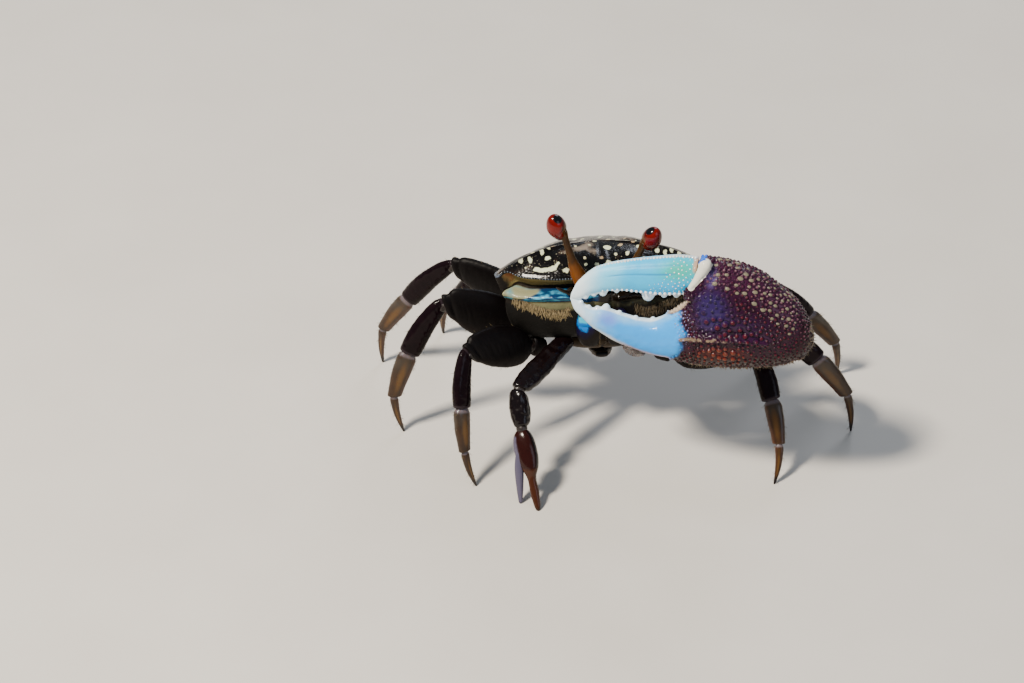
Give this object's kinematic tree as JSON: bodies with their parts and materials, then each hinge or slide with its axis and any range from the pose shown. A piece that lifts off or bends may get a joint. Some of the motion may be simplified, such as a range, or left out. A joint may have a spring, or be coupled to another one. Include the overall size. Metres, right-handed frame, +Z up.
{
  "type": "fiddler crab",
  "caption": "Life-size still model of a male fiddler crab standing on its legs, stalked eyes raised, the great claw held across its front.",
  "frame": {"origin": "centre of the bounding box's footprint, on the floor the crab stands on", "axes": "+Z up, +X towards the crab's left side, which carries the great claw, -Y towards its front"},
  "size_m": [0.0588, 0.036, 0.0324],
  "materials": {
    "carapace_shell": "glossy near-black shell with cream and pale green spots and a beige patch",
    "underside_shell": "satin olive-brown shell",
    "mouthpart_shell": "satin dark olive shell with a bright blue patch",
    "eyestalk_shell": "glossy orange-brown shell",
    "cornea": "wet, glassy red",
    "feeler_shell": "satin brown shell",
    "leg_shell": "glossy purplish near-black shell",
    "leg_tip_shell": "glossy amber-brown, slightly translucent shell",
    "arm_shell": "glossy dark brown shell",
    "palm_shell": "purple and maroon shell, granular, with cream tubercles; fixed finger sky blue with a white tip",
    "finger_shell": "smooth turquoise shell with white teeth, beads and tip",
    "small_palm_shell": "glossy red-brown shell with paler finger tips"
  },
  "bodies": {
    "root": {"carapace": "carapace_shell", "sternum": "underside_shell", "pleon": "underside_shell", "cheliped_major_base": "arm_shell", "cheliped_major_merus": "arm_shell", "cheliped_major_carpus": "arm_shell", "cheliped_major_manus": "palm_shell", "cheliped_major_dactyl": "finger_shell", "cheliped_minor_merus": "arm_shell", "cheliped_minor_carpus": "arm_shell", "cheliped_minor_manus": "small_palm_shell", "cheliped_minor_dactyl": "small_palm_shell", "maxilliped_right": "mouthpart_shell", "eyestalk_right": "eyestalk_shell", "eye_right": "cornea", "antenna_right": "feeler_shell", "leg_right_2_base": "leg_shell", "leg_right_2_merus": "leg_shell", "leg_right_2_carpus": "leg_shell", "leg_right_2_propodus": "leg_tip_shell", "leg_right_2_dactyl": "leg_tip_shell", "leg_right_3_base": "leg_shell", "leg_right_3_merus": "leg_shell", "leg_right_3_carpus": "leg_shell", "leg_right_3_propodus": "leg_tip_shell", "leg_right_3_dactyl": "leg_tip_shell", "leg_right_4_base": "leg_shell", "leg_right_4_merus": "leg_shell", "leg_right_4_carpus": "leg_shell", "leg_right_4_propodus": "leg_tip_shell", "leg_right_4_dactyl": "leg_tip_shell", "leg_right_5_base": "leg_shell", "leg_right_5_merus": "leg_shell", "leg_right_5_carpus": "leg_shell", "leg_right_5_propodus": "leg_tip_shell", "leg_right_5_dactyl": "leg_tip_shell", "maxilliped_left": "mouthpart_shell", "eyestalk_left": "eyestalk_shell", "eye_left": "cornea", "antenna_left": "feeler_shell", "leg_left_2_base": "leg_shell", "leg_left_2_merus": "leg_shell", "leg_left_2_carpus": "leg_shell", "leg_left_2_propodus": "leg_tip_shell", "leg_left_2_dactyl": "leg_tip_shell", "leg_left_3_base": "leg_shell", "leg_left_3_merus": "leg_shell", "leg_left_3_carpus": "leg_shell", "leg_left_3_propodus": "leg_tip_shell", "leg_left_3_dactyl": "leg_tip_shell", "leg_left_4_base": "leg_shell", "leg_left_4_merus": "leg_shell", "leg_left_4_carpus": "leg_shell", "leg_left_4_propodus": "leg_tip_shell", "leg_left_4_dactyl": "leg_tip_shell", "leg_left_5_base": "leg_shell", "leg_left_5_merus": "leg_shell", "leg_left_5_carpus": "leg_shell", "leg_left_5_propodus": "leg_tip_shell", "leg_left_5_dactyl": "leg_tip_shell"}
  },
  "joints": []
}
